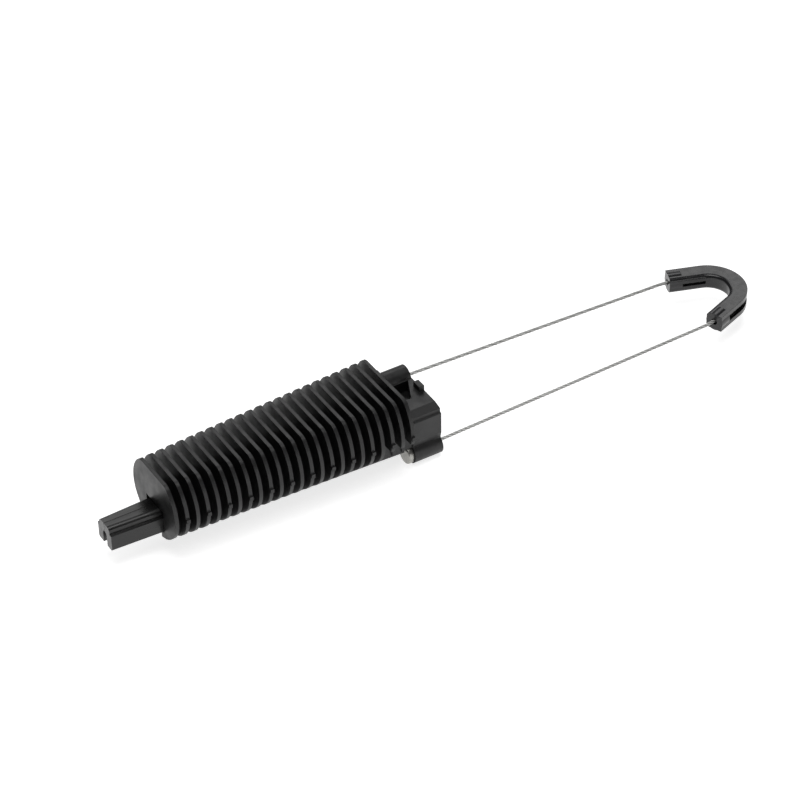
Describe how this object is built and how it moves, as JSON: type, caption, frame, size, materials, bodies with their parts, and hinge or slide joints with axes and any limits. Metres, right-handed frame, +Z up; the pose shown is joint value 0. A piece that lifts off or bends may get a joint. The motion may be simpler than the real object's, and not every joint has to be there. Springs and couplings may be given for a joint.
{
  "type": "cable anchoring clamp",
  "caption": "Finned dead-end clamp for a round aerial cable, with sliding grip wedges and a wire rope bail that ends in a plastic thimble.",
  "frame": {"origin": "on the gripped cable's axis, at the front face of the narrow fin", "axes": "+X along the gripped cable towards the bail, +Z up, away from the cable slot; the narrow end and the wedges' tips point to -X"},
  "size_m": [0.5071, 0.0756, 0.0598],
  "materials": {
    "body_plastic": "moulded black, satin",
    "wedge_plastic": "moulded black, semi-gloss",
    "steel_rope": "laid stainless strands",
    "ferrule_steel": "pressed, dull",
    "thimble_plastic": "moulded black, semi-gloss"
  },
  "bodies": {
    "clamp": {"clamp_body": "body_plastic", "bail_rope": "steel_rope", "ferrule_near": "ferrule_steel", "ferrule_far": "ferrule_steel", "thimble": "thimble_plastic"},
    "near_wedge": {"wedge_near": "wedge_plastic"},
    "far_wedge": {"wedge_far": "wedge_plastic"}
  },
  "joints": [
    {"name": "near_wedge_slide", "type": "slide", "parent": "clamp", "child": "near_wedge", "axis": [0.999, -0.045, 0], "range_m": [0, 0.06]},
    {"name": "far_wedge_slide", "type": "slide", "parent": "clamp", "child": "far_wedge", "axis": [0.999, 0.045, 0], "range_m": [0, 0.06]}
  ]
}
